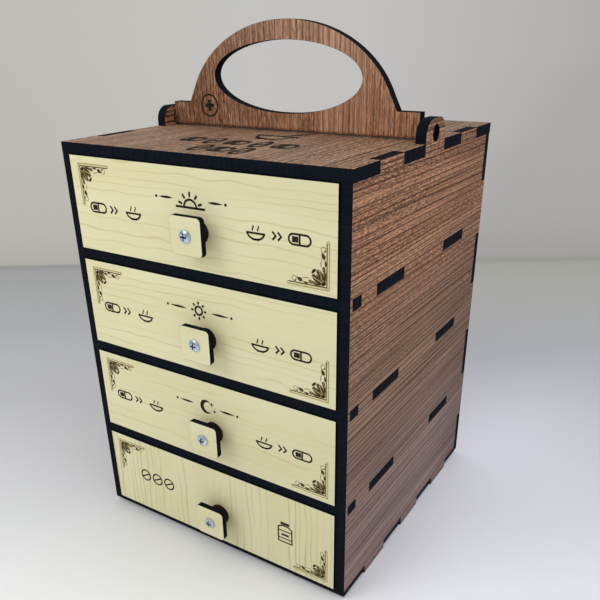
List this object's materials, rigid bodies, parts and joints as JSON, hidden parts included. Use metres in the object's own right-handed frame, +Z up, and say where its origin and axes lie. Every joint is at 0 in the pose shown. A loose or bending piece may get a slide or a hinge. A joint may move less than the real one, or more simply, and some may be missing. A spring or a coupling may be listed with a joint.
{
  "type": "medicine box with drawers",
  "caption": "Upright finger-jointed wooden medicine box: a stack of drawers with square screwed knobs, and an arched carry handle that swings in ears on the sides.",
  "frame": {"origin": "centre of the footprint, knobs included, on the floor", "axes": "+Z up, the drawers open towards -Y, +X to the right seen from the front"},
  "size_m": [0.1524, 0.1634, 0.2527],
  "materials": {
    "walnut_laminate": "satin walnut laminate",
    "maple_laminate": "satin maple laminate",
    "raw_board": "raw fibreboard",
    "charred_board": "matt, laser-charred",
    "zinc_steel": "bright zinc plate"
  },
  "bodies": {
    "carcass": {"left_side": "walnut_laminate", "right_side": "walnut_laminate", "top_panel": "walnut_laminate", "bottom_panel": "walnut_laminate", "back_panel": "walnut_laminate", "shelf_1": "walnut_laminate", "shelf_2": "walnut_laminate", "shelf_3": "walnut_laminate"},
    "carry_handle": {"handle": "walnut_laminate"},
    "drawer_1": {"drawer_1_face": "maple_laminate", "drawer_1_tray_front": "raw_board", "drawer_1_tray_back": "raw_board", "drawer_1_tray_left": "raw_board", "drawer_1_tray_right": "raw_board", "drawer_1_tray_bottom": "raw_board", "drawer_1_knob_plate": "maple_laminate", "drawer_1_knob_disc": "charred_board", "drawer_1_screw": "zinc_steel", "drawer_1_nut": "zinc_steel", "drawer_1_divider": "raw_board"},
    "drawer_2": {"drawer_2_face": "maple_laminate", "drawer_2_tray_front": "raw_board", "drawer_2_tray_back": "raw_board", "drawer_2_tray_left": "raw_board", "drawer_2_tray_right": "raw_board", "drawer_2_tray_bottom": "raw_board", "drawer_2_knob_plate": "maple_laminate", "drawer_2_knob_disc": "charred_board", "drawer_2_screw": "zinc_steel", "drawer_2_nut": "zinc_steel", "drawer_2_divider": "raw_board"},
    "drawer_3": {"drawer_3_face": "maple_laminate", "drawer_3_tray_front": "raw_board", "drawer_3_tray_back": "raw_board", "drawer_3_tray_left": "raw_board", "drawer_3_tray_right": "raw_board", "drawer_3_tray_bottom": "raw_board", "drawer_3_knob_plate": "maple_laminate", "drawer_3_knob_disc": "charred_board", "drawer_3_screw": "zinc_steel", "drawer_3_nut": "zinc_steel", "drawer_3_divider": "raw_board"},
    "drawer_4": {"drawer_4_face": "maple_laminate", "drawer_4_tray_front": "raw_board", "drawer_4_tray_back": "raw_board", "drawer_4_tray_left": "raw_board", "drawer_4_tray_right": "raw_board", "drawer_4_tray_bottom": "raw_board", "drawer_4_knob_plate": "maple_laminate", "drawer_4_knob_disc": "charred_board", "drawer_4_screw": "zinc_steel", "drawer_4_nut": "zinc_steel"}
  },
  "joints": [
    {"name": "drawer_1_slide", "type": "slide", "parent": "carcass", "child": "drawer_1", "axis": [0, -1, 0], "range_m": [0, 0.11]},
    {"name": "drawer_2_slide", "type": "slide", "parent": "carcass", "child": "drawer_2", "axis": [0, -1, 0], "range_m": [0, 0.11]},
    {"name": "drawer_3_slide", "type": "slide", "parent": "carcass", "child": "drawer_3", "axis": [0, -1, 0], "range_m": [0, 0.11]},
    {"name": "drawer_4_slide", "type": "slide", "parent": "carcass", "child": "drawer_4", "axis": [0, -1, 0], "range_m": [0, 0.11]},
    {"name": "handle_swing", "type": "hinge", "parent": "carcass", "child": "carry_handle", "pos_m": [0, 0.0055, 0.20687], "axis": [1, 0, 0], "range_deg": [-90, 90]}
  ]
}
